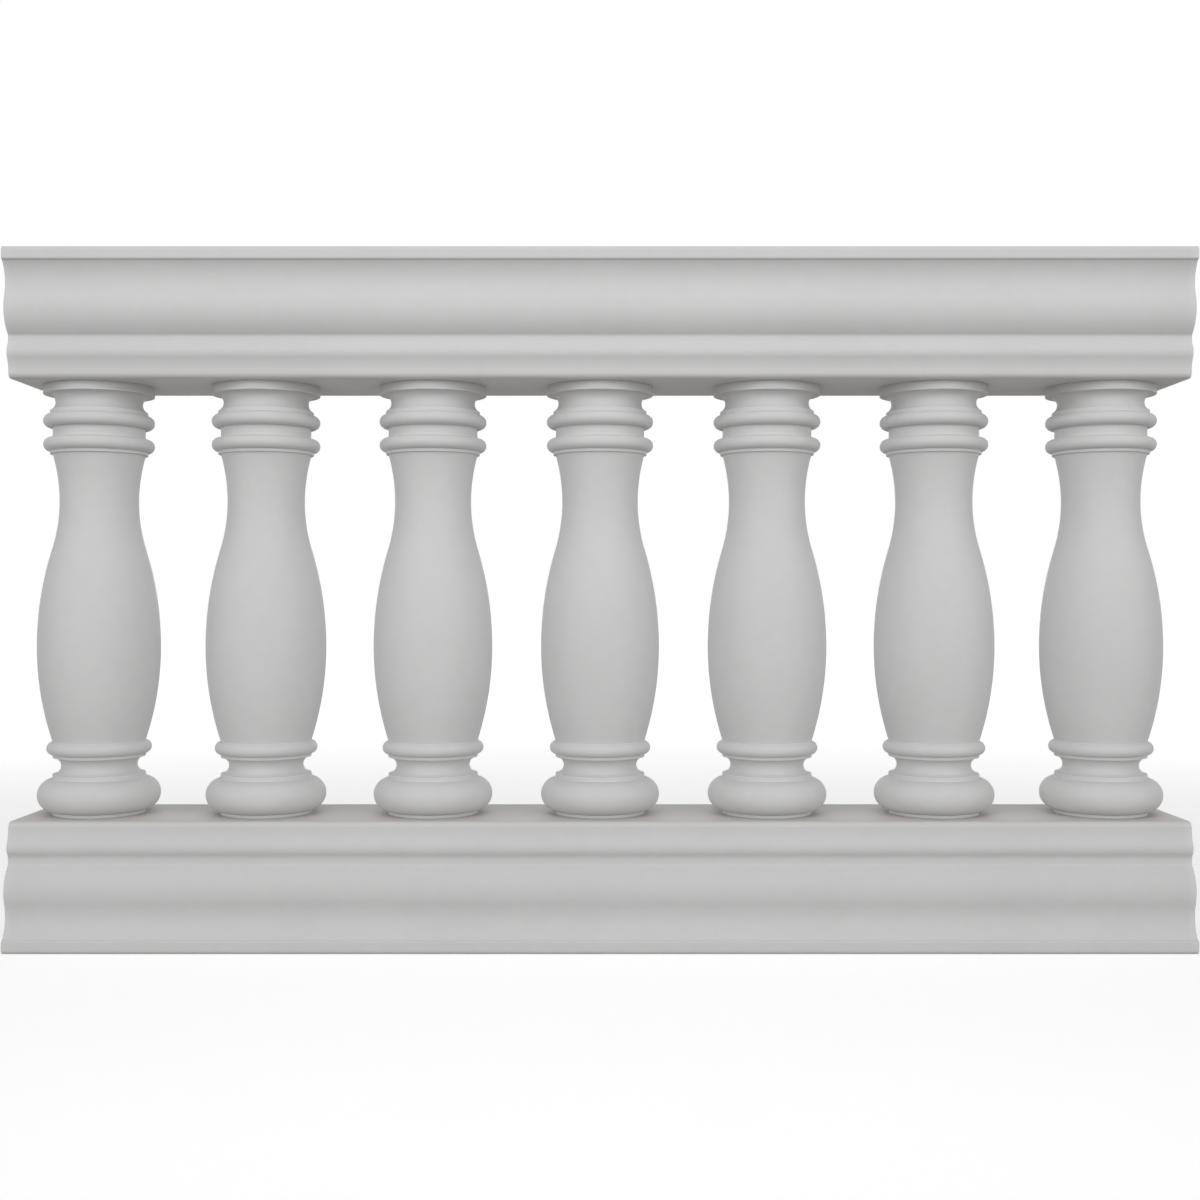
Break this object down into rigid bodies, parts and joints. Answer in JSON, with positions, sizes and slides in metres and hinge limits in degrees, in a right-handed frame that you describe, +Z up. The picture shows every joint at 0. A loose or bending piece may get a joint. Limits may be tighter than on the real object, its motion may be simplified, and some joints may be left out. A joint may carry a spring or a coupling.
{
  "type": "balustrade section",
  "caption": "Straight balustrade section: turned balusters with steel pipe cores, held between two moulded rails.",
  "frame": {"origin": "middle of the underside of the bottom rail", "axes": "+X along the rails, +Y from front to back, +Z up"},
  "size_m": [1.2192, 0.178, 0.7212],
  "materials": {
    "moulding": "smooth matt light grey, factory primed",
    "pipe": "dull drawn steel tube"
  },
  "bodies": {
    "root": {"bottom_rail": "moulding", "top_rail": "moulding", "baluster_1": "moulding", "baluster_2": "moulding", "baluster_3": "moulding", "baluster_4": "moulding", "baluster_5": "moulding", "baluster_6": "moulding", "baluster_7": "moulding", "steel_pipe_1": "pipe", "steel_pipe_2": "pipe", "steel_pipe_3": "pipe", "steel_pipe_4": "pipe", "steel_pipe_5": "pipe", "steel_pipe_6": "pipe", "steel_pipe_7": "pipe"}
  },
  "joints": []
}
